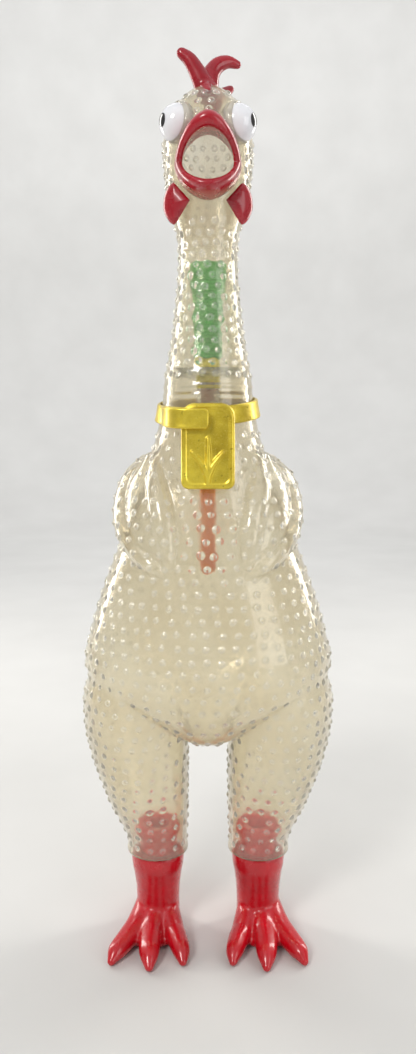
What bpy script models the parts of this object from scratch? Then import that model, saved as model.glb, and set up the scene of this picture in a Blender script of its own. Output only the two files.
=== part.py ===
"""Squeezable rubber chicken with a reed whistle in its neck.

The chicken stands on its two feet and faces -Y. The origin is on the ground under the middle of
the toy and +Z is up. All sizes are in millimetres and are turned into metres when a mesh is made.
"""

import math

import bmesh
import bpy
import numpy as np
from mathutils import Matrix, Vector

MM = 0.001

# ---------------------------------------------------------------- driving sizes
WALL = 2.2              # thickness of the moulded skin
BOND = 0.3              # gap where one piece is bonded to another, or rests on it
FLEX_GAP = 0.6          # gap between two skins that turn or slide against each other
SIDES = 28              # facets round a body section

BODY_HALF_WIDTH = 73.5  # widest point of the hips
BELLY_DEPTH = 52.0      # belly and back, each from the centre plane
CROTCH_HEIGHT = 125.0

LEG_END_HEIGHT = 51.0   # lower rim of each leg skin
LEG_END_RADIUS = 17.6
LEG_END_OFFSET = 30.8   # middle of the leg end, out from the centre plane
HIP_HEIGHT = 100.0      # axis on which a leg bends
HIP_OFFSET = 40.0
HIP_BALL = 34.0         # radius at which a leg turns inside the hip

SEAM_HEIGHT = 324.0     # glued seam of the neck, put together round the whistle
SEAM_RADIUS = 25.2
NECK_PIVOT = 296.0      # height of the axis on which the neck bends
THROAT_HEIGHT = 408.0   # where head and neck meet
THROAT_RADIUS = 16.4
HEAD_PIVOT = 400.0      # height of the axis on which the head nods

CROWN_HEIGHT = 487.5
HEAD_HALF_WIDTH = 24.6
EYE_CENTRE = (15.6, -11.0, 465.0)
EYE_RADII = (10.4, 9.6, 10.2)
PUPIL_RADIUS = 3.2
PUPIL_TURN = math.radians(58)   # how far each pupil looks sideways
MOUTH_HEIGHT = 442.0    # centre of the open beak
MOUTH_HALF_WIDTH = 12.4
MOUTH_ABOVE = 14.2      # opening, up from its centre
MOUTH_BELOW = 10.1
BEAK_HALF_WIDTH = 16.6
BEAK_ABOVE = 20.5
BEAK_BELOW = 21.0
BEAK_TIP = 38.0         # tips of the beak, forward of the centre plane
BEAK_CORNER = 25.0      # corners of the beak, forward of the centre plane
COMB_HEIGHT = 507.0

TUBE_RADIUS = 4.5       # orange air tube
TUBE_BORE = 3.2
TUBE_FOOT_HEIGHT = 223.0
COUPLING_HEIGHT = 318.5
WHISTLE_HEIGHT = 329.4  # lower end of the yellow whistle base
WHISTLE_RADIUS = 6.9
BARREL_HEIGHT = 344.0   # lower end of the green barrel
BARREL_BORE = 6.3
BELL_RADIUS = 10.2
BELL_HEIGHT = 395.5
REED_HEIGHT = 354.0     # axis on which the reed flicks
REED_THICKNESS = 0.4

TAG_WIDTH = 28.4
TAG_TOP = 319.0
TAG_FOOT = 274.0
TAG_THICKNESS = 5.0
TAG_LEAN = 0.11         # the tag's foot stands forward of its top, along the chest
STRAP_HEIGHT = 9.0
STRAP_THICKNESS = 2.2
STRAP_TILT = math.radians(6)    # the collar sits lower at the front

BELLY_PANEL_HEIGHT = 182.0      # middle of the part of the belly that gives
BELLY_PANEL_WIDTH = 34.0        # half sizes of that oval
BELLY_PANEL_RISE = 33.0


# ---------------------------------------------------------------- tools
def start_empty():
    for item in list(bpy.data.objects):
        bpy.data.objects.remove(item, do_unlink=True)


def material(name, colour, roughness, metallic=0.0, clear=0.0):
    found = bpy.data.materials.get(name) or bpy.data.materials.new(name)
    found.use_nodes = True
    shader = found.node_tree.nodes["Principled BSDF"]
    shader.inputs["Base Color"].default_value = (*colour, 1)
    shader.inputs["Roughness"].default_value = roughness
    shader.inputs["Metallic"].default_value = metallic
    shader.inputs["Transmission Weight"].default_value = clear
    return found


def mesh_object(name, points, faces):
    """An object of these points in millimetres, with its faces turned outwards."""
    mesh = bpy.data.meshes.new(name)
    mesh.from_pydata([tuple(c * MM for c in p) for p in points], [], faces)
    made = bpy.data.objects.new(name, mesh)
    bpy.context.scene.collection.objects.link(made)
    shape = bmesh.new()
    shape.from_mesh(mesh)
    bmesh.ops.recalc_face_normals(shape, faces=shape.faces)
    if shape.calc_volume(signed=True) < 0:
        bmesh.ops.reverse_faces(shape, faces=shape.faces)
    shape.to_mesh(mesh)
    shape.free()
    return made


def skin_of_rings(name, rings, loop=False):
    """Bridges rings of equal point counts. A loop joins the last ring to the first; otherwise the ends
    are capped."""
    sides = len(rings[0])
    points = [p for ring in rings for p in ring]
    faces = []
    for r in range(len(rings) if loop else len(rings) - 1):
        low, high = r * sides, ((r + 1) % len(rings)) * sides
        for s in range(sides):
            after = (s + 1) % sides
            faces.append((low + s, low + after, high + after, high + s))
    if not loop:
        faces.append(tuple(reversed(range(sides))))
        faces.append(tuple(range(len(points) - sides, len(points))))
    return mesh_object(name, points, faces)


def apply_boolean(target, other, operation, keep=False):
    """Cuts, joins or intersects target with other, which is then removed unless it is kept."""
    modifier = target.modifiers.new("boolean", "BOOLEAN")
    modifier.operation = operation
    modifier.solver = "EXACT"
    modifier.object = other
    graph = bpy.context.evaluated_depsgraph_get()
    result = bpy.data.meshes.new_from_object(target.evaluated_get(graph))
    target.modifiers.clear()
    target.data = result
    if not keep:
        bpy.data.objects.remove(other, do_unlink=True)
    return target


def cut(target, *others):
    for other in others:
        apply_boolean(target, other, "DIFFERENCE")
    return target


def join(target, *others):
    for other in others:
        apply_boolean(target, other, "UNION")
    return target


def keep_common(target, other):
    return apply_boolean(target, other, "INTERSECT")


def copy_of(source, name):
    made = source.copy()
    made.data = source.data.copy()
    made.name = name
    bpy.context.scene.collection.objects.link(made)
    return made


def block(low, high):
    corners = [(x, y, z) for x in (low[0], high[0]) for y in (low[1], high[1])
               for z in (low[2], high[2])]
    faces = [(0, 1, 3, 2), (4, 6, 7, 5), (0, 4, 5, 1), (2, 3, 7, 6), (0, 2, 6, 4), (1, 5, 7, 3)]
    return mesh_object("block", corners, faces)


def ball(centre, radii, segments=32, rings=16):
    """An ellipsoid; radii is one radius, or one for each axis."""
    radii = (radii,) * 3 if isinstance(radii, (int, float)) else radii
    shape = bmesh.new()
    bmesh.ops.create_uvsphere(shape, u_segments=segments, v_segments=rings, radius=1)
    bmesh.ops.scale(shape, vec=Vector(radii) * MM, verts=shape.verts)
    bmesh.ops.translate(shape, vec=Vector(centre) * MM, verts=shape.verts)
    mesh = bpy.data.meshes.new("ball")
    shape.to_mesh(mesh)
    shape.free()
    made = bpy.data.objects.new("ball", mesh)
    bpy.context.scene.collection.objects.link(made)
    return made


def turned(name, profile, centre=(0, 0), sides=20, ring=True):
    """A profile of (radius, height) turned about an upright axis: a closed ring, or a flat-ended solid."""
    turns = [2 * math.pi * s / sides for s in range(sides)]
    circles = [[(centre[0] + r * math.cos(a), centre[1] + r * math.sin(a), z) for a in turns]
               for r, z in profile]
    return skin_of_rings(name, circles, loop=ring)


def prism_y(name, outline, near, far):
    """An outline of (x, z) points carried from y = near to y = far."""
    return skin_of_rings(name, [[(x, near, z) for x, z in outline], [(x, far, z) for x, z in outline]])


def ellipse(centre, half_width, half_height, sides=40):
    turns = [2 * math.pi * k / sides for k in range(sides)]
    return [(centre[0] + half_width * math.cos(a), centre[1] + half_height * math.sin(a)) for a in turns]


def section(height, half_width, front, back, x=0.0, y=0.0, sides=SIDES):
    """A level egg-shaped section: its own half depth in front and behind."""
    ring = []
    for k in range(sides):
        a = 2 * math.pi * (k + 0.5) / sides
        depth = back if math.sin(a) > 0 else front
        ring.append((x + half_width * math.cos(a), y + depth * math.sin(a), height))
    return ring


def lofted(name, stations, grow=0.0, sides=SIDES):
    """A solid through stations of (height, half width, front, back[, x, y]), each radius grown by grow."""
    rings = []
    for height, half_width, front, back, *place in stations:
        radii = [max(r + grow, 0.4) for r in (half_width, front, back)]
        rings.append(section(height, *radii, *place, sides=sides))
    return skin_of_rings(name, rings)


def mirrored(source, name):
    made = copy_of(source, name)
    shape = bmesh.new()
    shape.from_mesh(made.data)
    bmesh.ops.scale(shape, vec=(-1, 1, 1), verts=shape.verts)
    bmesh.ops.reverse_faces(shape, faces=shape.faces)
    shape.to_mesh(made.data)
    shape.free()
    return made


def finish(made, name, finish_material, pivot=(0, 0, 0)):
    """Names a piece, gives it its material, shades it smooth and puts its origin on its joint."""
    made.name = name
    made.data.name = name
    made.data.materials.clear()
    made.data.materials.append(finish_material)
    at = Vector(pivot) * MM
    made.data.transform(Matrix.Translation(-at))
    made.location = at
    made.data.shade_smooth()
    made.data.set_sharp_from_angle(angle=math.radians(35))
    return made


# ---------------------------------------------------------------- materials
start_empty()
SKIN = material("clear vinyl skin", (0.86, 0.82, 0.70), 0.25, clear=0.8)
RED = material("red vinyl", (0.52, 0.01, 0.03), 0.22)
WHITE = material("white paint", (0.86, 0.86, 0.87), 0.15)
BLACK = material("black paint", (0.01, 0.01, 0.012), 0.12)
GOLD = material("gold paint", (0.62, 0.47, 0.06), 0.33, metallic=0.35)
GREEN = material("green plastic", (0.10, 0.45, 0.12), 0.3)
YELLOW = material("yellow plastic", (0.78, 0.72, 0.08), 0.3)
ORANGE = material("orange plastic", (0.90, 0.22, 0.06), 0.35)
CLEAR = material("clear plastic", (0.85, 0.88, 0.84), 0.1, clear=0.9)
METAL = material("reed brass", (0.75, 0.58, 0.28), 0.25, metallic=1.0)

# ---------------------------------------------------------------- forms shared by the skins
W, D = BODY_HALF_WIDTH, BELLY_DEPTH
TORSO_FORM = [
    (CROTCH_HEIGHT, 0.08 * W, 0.30 * D, 0.24 * D),
    (CROTCH_HEIGHT + 4, 0.21 * W, 0.60 * D, 0.54 * D),
    (CROTCH_HEIGHT + 9, 0.34 * W, 0.79 * D, 0.69 * D),
    (CROTCH_HEIGHT + 16, 0.50 * W, 0.88 * D, 0.83 * D),
    (152.0, 0.79 * W, 0.98 * D, 0.94 * D),
    (160.0, 0.945 * W, D, D),
    (172.0, 0.985 * W, D, 0.99 * D),
    (190.0, 0.93 * W, 0.96 * D, 0.92 * D),
    (205.0, 0.87 * W, 0.92 * D, 0.87 * D),
    (220.0, 0.80 * W, 0.87 * D, 0.82 * D),
    (236.0, 0.715 * W, 0.81 * D, 0.77 * D),
    (252.0, 0.63 * W, 0.75 * D, 0.72 * D),
    (268.0, 0.55 * W, 0.68 * D, 0.66 * D),
    (281.0, 0.49 * W, 0.615 * D, 0.61 * D),
    (293.0, 1.30 * SEAM_RADIUS, 1.22 * SEAM_RADIUS, 1.20 * SEAM_RADIUS),
    (304.0, 1.16 * SEAM_RADIUS, 1.12 * SEAM_RADIUS, 1.10 * SEAM_RADIUS),
    (314.0, 1.07 * SEAM_RADIUS, 1.05 * SEAM_RADIUS, 1.04 * SEAM_RADIUS),
    (SEAM_HEIGHT, SEAM_RADIUS, SEAM_RADIUS, SEAM_RADIUS),
    (SEAM_HEIGHT + 9, 0.97 * SEAM_RADIUS, 0.97 * SEAM_RADIUS, 0.97 * SEAM_RADIUS),
]
NECK_FORM = [
    (NECK_PIVOT + 8, 1.16 * SEAM_RADIUS, 1.12 * SEAM_RADIUS, 1.10 * SEAM_RADIUS),
    (SEAM_HEIGHT, SEAM_RADIUS, SEAM_RADIUS, SEAM_RADIUS),
    (333.0, 0.97 * SEAM_RADIUS, 0.97 * SEAM_RADIUS, 0.97 * SEAM_RADIUS),
    (342.0, 0.90 * SEAM_RADIUS, 0.90 * SEAM_RADIUS, 0.90 * SEAM_RADIUS),
    (350.0, 0.845 * SEAM_RADIUS, 0.845 * SEAM_RADIUS, 0.845 * SEAM_RADIUS),
    (360.0, 0.785 * SEAM_RADIUS, 0.785 * SEAM_RADIUS, 0.785 * SEAM_RADIUS),
    (371.0, 1.125 * THROAT_RADIUS, 1.125 * THROAT_RADIUS, 1.125 * THROAT_RADIUS),
    (385.0, 1.04 * THROAT_RADIUS, 1.04 * THROAT_RADIUS, 1.04 * THROAT_RADIUS),
    (HEAD_PIVOT, THROAT_RADIUS, THROAT_RADIUS, THROAT_RADIUS),
    (THROAT_HEIGHT + 6, THROAT_RADIUS, THROAT_RADIUS, THROAT_RADIUS),
]
H = HEAD_HALF_WIDTH
HEAD_FORM = [
    (HEAD_PIVOT + 1, THROAT_RADIUS, THROAT_RADIUS, THROAT_RADIUS),
    (THROAT_HEIGHT, THROAT_RADIUS + 0.2, THROAT_RADIUS + 0.2, THROAT_RADIUS + 0.6),
    (416.0, 0.75 * H, 0.72 * H, 0.77 * H),
    (425.0, 0.88 * H, 0.81 * H, 0.85 * H),
    (436.0, 0.92 * H, 0.88 * H, 0.91 * H),
    (448.0, 0.98 * H, 0.92 * H, 0.94 * H),
    (457.0, H, 0.91 * H, 0.95 * H),
    (466.0, 0.93 * H, 0.85 * H, 0.91 * H),
    (475.0, 0.74 * H, 0.70 * H, 0.78 * H),
    (482.0, 0.50 * H, 0.50 * H, 0.58 * H),
    (CROWN_HEIGHT - 1.2, 0.24 * H, 0.24 * H, 0.30 * H),
    (CROWN_HEIGHT, 0.08 * H, 0.08 * H, 0.10 * H),
]
E = LEG_END_RADIUS
LEG_FORM = [
    (LEG_END_HEIGHT, E, 0.93 * E, 0.93 * E, LEG_END_OFFSET, 0.0),
    (57.0, 1.01 * E, 0.95 * E, 0.95 * E, LEG_END_OFFSET, 0.0),
    (68.0, 1.14 * E, 1.08 * E, 1.08 * E, 32.6, 0.0),
    (81.0, 1.33 * E, 1.28 * E, 1.26 * E, 35.6, 0.0),
    (94.0, 1.46 * E, 1.47 * E, 1.44 * E, 37.8, 0.0),
    (107.0, 1.58 * E, 1.64 * E, 1.61 * E, 39.8, 0.0),
    (120.0, 1.68 * E, 1.82 * E, 1.78 * E, 41.6, 0.0),
    (134.0, 1.74 * E, 1.99 * E, 1.95 * E, 42.8, 0.0),
    (148.0, 1.74 * E, 2.10 * E, 2.10 * E, 43.0, 0.0),
    (162.0, 1.53 * E, 1.99 * E, 1.99 * E, 43.0, 0.0),
    (174.0, 1.02 * E, 1.48 * E, 1.48 * E, 42.0, 0.0),
]
SHANK_RADIUS = 0.91 * LEG_END_RADIUS
PLUG_RADIUS = 0.93 * LEG_END_RADIUS - WALL - BOND


def mirror_places(stations):
    return [(height, *radii, -x, y) for height, *radii, x, y in stations]


def inner_of(stations, low=0.0, high=0.0):
    """Stations for the hollow of a form. An end with a length runs on through it; any other stays closed."""
    first, *middle, last = stations
    if low:
        middle = [(first[0] - low, *first[1:]), *middle]
    if high:
        middle = [*middle, (last[0] + high, *last[1:])]
    return middle


def wing(side):
    """One folded wing, three soft fingers side by side, from the shoulder round to the chest."""
    outer = [(36, 5, 287), (43, 0, 275), (45.6, -9, 257), (41, -22, 241), (32, -33, 230), (23, -40, 224)]
    middle = [(31.5, -9, 284.3), (34.2, -16, 271.1), (32.4, -25, 255.4), (27.7, -32, 242.2),
              (24.2, -36.8, 233.3)]
    inner = [(28.5, -14, 289), (28.5, -21.5, 277), (26, -29, 263), (23.5, -34.5, 249), (21.5, -39, 235)]
    wide = finger([(side * x, y, z) for x, y, z in outer], [4.5, 7.6, 8.8, 8.0, 6.0, 3.0])
    join(wide, finger([(side * x, y, z) for x, y, z in middle], [4.6, 7.1, 7.9, 6.3, 3.1], 12))
    return join(wide, finger([(side * x, y, z) for x, y, z in inner], [3.2, 6.2, 7.4, 6.8, 3.8]))


def finger(spine, radii, sides=10):
    """A tapered round rod along a bent spine, closed at both ends."""
    rings = []
    for i, (at, radius) in enumerate(zip(spine, radii)):
        before, after = Vector(spine[max(i - 1, 0)]), Vector(spine[min(i + 1, len(spine) - 1)])
        along = (after - before).normalized()
        across = along.cross(Vector((0.31, 0.9, 0.17))).normalized()
        up = along.cross(across)
        ring = []
        for k in range(sides):
            a = 2 * math.pi * k / sides
            ring.append(tuple(Vector(at) + radius * (math.cos(a) * across + math.sin(a) * up)))
        rings.append(ring)
    return skin_of_rings("finger", rings)


# ---------------------------------------------------------------- torso, belly and legs
def whole_body():
    """Torso, wings and legs as one hollow skin, open at the neck and at both leg ends."""
    skin = lofted("body", TORSO_FORM)
    hollow = lofted("hollow", inner_of(TORSO_FORM, high=6), grow=-WALL)
    for side in (1, -1):
        legs = LEG_FORM if side > 0 else mirror_places(LEG_FORM)
        join(skin, lofted("leg", legs, sides=24), wing(side))
        join(hollow, lofted("leg", inner_of(legs, low=6), grow=-WALL, sides=24))
    return cut(skin, hollow)


def hip_region(side, grow):
    """The space in which one leg turns: a ball round the hip and everything below its axis."""
    region = ball((side * HIP_OFFSET, 0, HIP_HEIGHT), HIP_BALL + grow, 32, 16)
    low = (side * 3.0, -60, 30)
    high = (side * 90.0, 60, HIP_HEIGHT)
    return join(region, block(np.minimum(low, high), np.maximum(low, high)))


def neck_region(grow):
    """A ball round the neck axis, and everything below that axis."""
    region = ball((0, 0, NECK_PIVOT), math.hypot(SEAM_RADIUS, SEAM_HEIGHT - NECK_PIVOT) + grow, 28, 20)
    return join(region, block((-90, -70, 20), (90, 70, NECK_PIVOT)))


def belly_oval(grow):
    outline = ellipse((0, BELLY_PANEL_HEIGHT), BELLY_PANEL_WIDTH + grow, BELLY_PANEL_RISE + grow)
    return prism_y("oval", outline, -70, -5)


def build_body():
    body = whole_body()
    pieces = {}
    for side, name in ((1, "left"), (-1, "right")):
        leg = keep_common(copy_of(body, "leg"), hip_region(side, 0))
        hip = (side * HIP_OFFSET, 0, HIP_HEIGHT)
        pieces[name] = finish(leg, "leg_skin_" + name, SKIN, hip)
    belly = keep_common(copy_of(body, "belly"), belly_oval(0))
    finish(belly, "belly_panel", SKIN, (0, -BELLY_DEPTH, BELLY_PANEL_HEIGHT))
    cut(body, hip_region(1, FLEX_GAP), hip_region(-1, FLEX_GAP), belly_oval(FLEX_GAP))
    keep_common(body, neck_region(0))
    finish(body, "torso_skin", SKIN)


build_body()


# ---------------------------------------------------------------- feet, plugged into the leg ends
def build_foot(side, name):
    """Red vinyl foot: a hollow plug and shank, three toes forward, a spur behind, and a flat sole."""
    x = LEG_END_OFFSET
    rim = LEG_END_HEIGHT - BOND
    profile = [(0.9 * SHANK_RADIUS, -2), (0.86 * SHANK_RADIUS, 20), (0.93 * SHANK_RADIUS, 36),
               (SHANK_RADIUS, 43), (SHANK_RADIUS, rim), (PLUG_RADIUS, rim), (PLUG_RADIUS, 66),
               (PLUG_RADIUS - 1.5, 68), (PLUG_RADIUS / 2, 68), (PLUG_RADIUS / 2, 14)]
    foot = turned("foot", profile, (x, 0), 24, ring=False)
    toes = [((2, -44), 6.2), ((20, -37), 5.6), ((-15, -38), 5.6), ((4, 30), 5.2)]
    for (reach_x, reach_y), radius in toes:
        spine = [(x + t * reach_x, t * reach_y, h) for t, h in ((0.12, 6.5), (0.45, 5), (0.8, 3.6), (1, 2.2))]
        join(foot, finger(spine, [radius * 1.5, radius * 1.15, radius, 0.55 * radius]))
    web = [(x - 13, -27, -3), (x + 4, -31, -3), (x + 17, -27, -3), (x + 10, 4, -3), (x - 8, 4, -3)]
    join(foot, skin_of_rings("web", [web, [(a, b, 4.5) for a, b, c in web]]))
    cut(foot, block((x - 60, -80, -30), (x + 60, 80, 0.0)))
    hip = (HIP_OFFSET, 0, HIP_HEIGHT)
    if side < 0:
        other = mirrored(foot, "foot_" + name)
        bpy.data.objects.remove(foot, do_unlink=True)
        foot = other
        hip = (-HIP_OFFSET, 0, HIP_HEIGHT)
    finish(foot, "foot_" + name, RED, hip)


build_foot(1, "left")
build_foot(-1, "right")

# ---------------------------------------------------------------- neck and head skins
NECK_AXIS = (0, 0, NECK_PIVOT)
HEAD_AXIS = (0, 0, HEAD_PIVOT)
THROAT_BALL = math.hypot(THROAT_RADIUS, THROAT_HEIGHT - HEAD_PIVOT)


def build_neck():
    neck = lofted("neck", NECK_FORM)
    cut(neck, lofted("hollow", inner_of(NECK_FORM, low=5, high=5), grow=-WALL), neck_region(FLEX_GAP))
    upper = join(ball(HEAD_AXIS, THROAT_BALL, 28, 16), block((-50, -50, 280), (50, 50, HEAD_PIVOT)))
    finish(keep_common(neck, upper), "neck_skin", SKIN, NECK_AXIS)


def mouth_outline(grow, sides=32):
    """The opening of the beak, a soft lozenge that is taller above its corners than below."""
    outline = []
    for k in range(sides):
        a = 2 * math.pi * k / sides
        rise = MOUTH_ABOVE if math.sin(a) > 0 else MOUTH_BELOW
        across = math.copysign(abs(math.cos(a)) ** 1.1, math.cos(a))
        up = math.copysign(abs(math.sin(a)) ** 1.1, math.sin(a))
        outline.append(((MOUTH_HALF_WIDTH + grow) * across, MOUTH_HEIGHT + (rise + grow) * up))
    return outline


def build_head():
    head = lofted("head", HEAD_FORM)
    cut(head, lofted("hollow", inner_of(HEAD_FORM, low=5), grow=-WALL))
    cut(head, ball(HEAD_AXIS, THROAT_BALL + FLEX_GAP, 28, 16))
    cut(head, prism_y("mouth", mouth_outline(0.6), -60, 0))
    finish(head, "head_skin", SKIN, HEAD_AXIS)


def head_surface():
    return lofted("surface", HEAD_FORM, grow=BOND)


def build_beak():
    """The red beak, held open: a lipped ring with its corners back and its two tips forward."""
    rings = []
    for k, (x, z) in enumerate(mouth_outline(0)):
        a = 2 * math.pi * k / 32
        rise = BEAK_ABOVE if math.sin(a) > 0 else BEAK_BELOW
        across = BEAK_HALF_WIDTH * math.copysign(abs(math.cos(a)) ** 1.15, math.cos(a))
        up = rise * math.copysign(abs(math.sin(a)) ** 1.15, math.sin(a))
        front = -BEAK_CORNER - (BEAK_TIP - BEAK_CORNER) * abs(math.sin(a)) ** 1.5
        mid_x, mid_z = 0.5 * (across + x), 0.5 * (MOUTH_HEIGHT + up + z)
        rings.append([(1.06 * across, -8, MOUTH_HEIGHT + 1.06 * up),
                      (1.03 * across, front + 7, MOUTH_HEIGHT + 1.03 * up),
                      (across, front + 2.2, MOUTH_HEIGHT + up),
                      (0.5 * (across + mid_x), front + 0.4, 0.5 * (MOUTH_HEIGHT + up + mid_z)),
                      (mid_x, front, mid_z),
                      (0.5 * (x + mid_x), front + 0.6, 0.5 * (z + mid_z)),
                      (x, front + 2.6, z),
                      (x, -8, z)])
    beak = skin_of_rings("beak", rings, loop=True)
    finish(cut(beak, head_surface()), "beak", RED, HEAD_AXIS)


def build_comb():
    """Three soft lobes on a low ridge; the front lobe leans one way and the next the other."""
    top = CROWN_HEIGHT
    ridge = [(0, -12, top - 8), (-1, -6, top - 2), (0, 2, top), (2, 10, top - 3), (2, 17, top - 11)]
    comb = finger(ridge, [2.5, 4.2, 4.6, 4.2, 2.5])
    front = [(-1, -5, top - 4), (-4, -6, top + 3), (-8, -6, top + 9), (-12, -6, top + 14),
             (-15, -6, COMB_HEIGHT - 1.2)]
    middle = [(2, 6, top - 4), (6, 6, top + 4), (11, 6, top + 9), (16, 7, top + 10), (19.5, 8, top + 7)]
    rear = [(3, 14, top - 10), (6, 17, top - 6), (9, 20, top - 4)]
    join(comb, finger(front, [4.6, 4.2, 3.8, 3.3, 2.0]))
    join(comb, finger(middle, [4.8, 4.4, 4.2, 3.4, 1.8]))
    join(comb, finger(rear, [3.6, 3.0, 1.6]))
    finish(cut(comb, head_surface()), "comb", RED, HEAD_AXIS)


def build_wattles():
    """Two sharp-edged lozenges hanging under the corners of the beak."""
    stations = [(412.0, 0.6, 0.6, 0.6, 17.5, -17.0), (417.5, 4.6, 2.6, 2.6, 17.2, -17.5),
                (423.0, 7.3, 3.8, 3.8, 16.4, -18.0), (429.0, 3.8, 3.2, 3.2, 16.8, -17.5),
                (434.5, 0.8, 0.8, 0.8, 18.4, -16.0)]
    left = cut(lofted("wattle", stations, sides=16), head_surface())
    finish(mirrored(left, "wattle_right"), "wattle_right", RED, HEAD_AXIS)
    finish(left, "wattle_left", RED, HEAD_AXIS)


def build_eyes():
    """White domes bonded to the sides of the head, each with a black pupil looking sideways."""
    shell = [r + BOND for r in EYE_RADII]
    dome = [r + BOND + 0.7 for r in EYE_RADII]
    left = cut(ball(EYE_CENTRE, EYE_RADII, 24, 12), head_surface())
    pupil = cut(ball(EYE_CENTRE, dome, 24, 12), ball(EYE_CENTRE, shell, 24, 12))
    sight = Vector((math.sin(PUPIL_TURN), -math.cos(PUPIL_TURN), 0))
    spine = [tuple(Vector(EYE_CENTRE) + reach * sight) for reach in (4, 16)]
    keep_common(pupil, finger(spine, [PUPIL_RADIUS, PUPIL_RADIUS], 16))
    finish(mirrored(left, "eye_right"), "eye_right", WHITE, HEAD_AXIS)
    finish(mirrored(pupil, "pupil_right"), "pupil_right", BLACK, HEAD_AXIS)
    finish(left, "eye_left", WHITE, HEAD_AXIS)
    finish(pupil, "pupil_left", BLACK, HEAD_AXIS)


build_neck()
build_head()
build_beak()
build_comb()
build_wattles()
build_eyes()

# ---------------------------------------------------------------- collar and tag
STRAP_FORM = TORSO_FORM[-6:]
STRAP_MIDDLE = 313.0
STRAP_FRONT = 1.16 * SEAM_RADIUS + 2 * BOND + STRAP_THICKNESS


def tilted_slab():
    slab = block((-45, -45, -STRAP_HEIGHT / 2), (45, 45, STRAP_HEIGHT / 2))
    slab.data.transform(Matrix.Rotation(STRAP_TILT, 4, "X"))
    slab.data.transform(Matrix.Translation(Vector((0, 0, STRAP_MIDDLE)) * MM))
    return slab


def build_strap():
    """The collar, a flat gold band round the neck whose free end laps over the tag."""
    strap = keep_common(lofted("strap", STRAP_FORM, grow=BOND + STRAP_THICKNESS), tilted_slab())
    cut(strap, lofted("neck", inner_of(STRAP_FORM, low=3, high=3), grow=BOND))
    side = -TAG_WIDTH / 2 - BOND
    face = -STRAP_FRONT - TAG_THICKNESS - 2 * BOND - 1.4
    low, high = STRAP_MIDDLE - 8.8, STRAP_MIDDLE + 1.2
    root = -math.sqrt((1.135 * SEAM_RADIUS + BOND) ** 2 - side**2)
    join(strap, block((side - 2.4, face, low), (side, root, high)))
    join(strap, block((side - 0.6, face, low + 0.2), (-2.0, face + 1.7, high - 0.2)))
    finish(strap, "collar_strap", GOLD)


def build_tag():
    """A flat tag with round shoulders, leaning on the chest, with a bird's footprint in relief."""
    w, top, foot = TAG_WIDTH / 2, TAG_TOP, TAG_FOOT
    outline = [(-w, foot + 3), (-w + 3, foot), (w - 3, foot), (w, foot + 3), (w, top - 9),
               (w - 2.5, top - 3.5), (w - 8, top), (-w + 8, top), (-w + 2.5, top - 3.5), (-w, top - 9)]
    back = -STRAP_FRONT
    rings = [[(x, back, z) for x, z in outline], [(x, back - TAG_THICKNESS + 1.2, z) for x, z in outline]]
    edge = [(x * 0.91, back - TAG_THICKNESS, 0.93 * (z - 297) + 297) for x, z in outline]
    tag = skin_of_rings("tag", [*rings, edge])
    face = back - TAG_THICKNESS
    for lean in (-0.55, 0.0, 0.55):
        toe = [(0, face, 282), (11 * math.sin(lean), face, 282 + 12 * math.cos(lean))]
        join(tag, finger(toe, [1.5, 0.9], 10))
    for point in tag.data.vertices:
        point.co.y -= TAG_LEAN * (STRAP_MIDDLE * MM - 0.008 - point.co.z)
    finish(tag, "collar_tag", GOLD)


build_strap()
build_tag()


# ---------------------------------------------------------------- sound unit in the neck
def build_sound_unit():
    """An orange air tube, a coupling, and a two-piece whistle with its reed, held by a web in the neck."""
    bore = TUBE_RADIUS + BOND
    tube_top = WHISTLE_HEIGHT - 1.4
    tube = [(TUBE_BORE, TUBE_FOOT_HEIGHT), (TUBE_RADIUS, TUBE_FOOT_HEIGHT), (TUBE_RADIUS, tube_top),
            (TUBE_BORE, tube_top)]
    finish(turned("intake_tube", tube), "intake_tube", ORANGE, NECK_AXIS)
    coupling_top = WHISTLE_HEIGHT - BOND
    coupling = [(bore, COUPLING_HEIGHT), (WHISTLE_RADIUS, COUPLING_HEIGHT), (WHISTLE_RADIUS, coupling_top),
                (bore, coupling_top)]
    finish(turned("tube_coupling", coupling), "tube_coupling", CLEAR, NECK_AXIS)
    spigot = BARREL_BORE - BOND
    base = [(bore, WHISTLE_HEIGHT), (WHISTLE_RADIUS, WHISTLE_HEIGHT), (WHISTLE_RADIUS, BARREL_HEIGHT - BOND),
            (spigot, BARREL_HEIGHT - BOND), (spigot, BARREL_HEIGHT + 5), (bore, BARREL_HEIGHT + 5)]
    finish(turned("whistle_base", base), "whistle_base", YELLOW, NECK_AXIS)
    barrel = [(BARREL_BORE, BARREL_HEIGHT), (BARREL_BORE + 1.3, BARREL_HEIGHT), (BARREL_BORE + 2, 366),
              (BARREL_BORE + 2.2, 376), (BELL_RADIUS, 386), (BELL_RADIUS, BELL_HEIGHT),
              (BELL_RADIUS - 1.5, BELL_HEIGHT), (BELL_RADIUS - 1.8, 388), (BARREL_BORE, 380)]
    finish(turned("whistle_barrel", barrel), "whistle_barrel", GREEN, NECK_AXIS)
    faces = [(334.8, *[0.955 * SEAM_RADIUS] * 3), (338.6, *[0.925 * SEAM_RADIUS] * 3)]
    web = lofted("web", faces, grow=-(WALL + BOND))
    hole = turned("hole", [(WHISTLE_RADIUS + BOND, 330), (WHISTLE_RADIUS + BOND, 345)], ring=False)
    finish(cut(web, hole), "bulkhead_web", CLEAR, NECK_AXIS)


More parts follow.
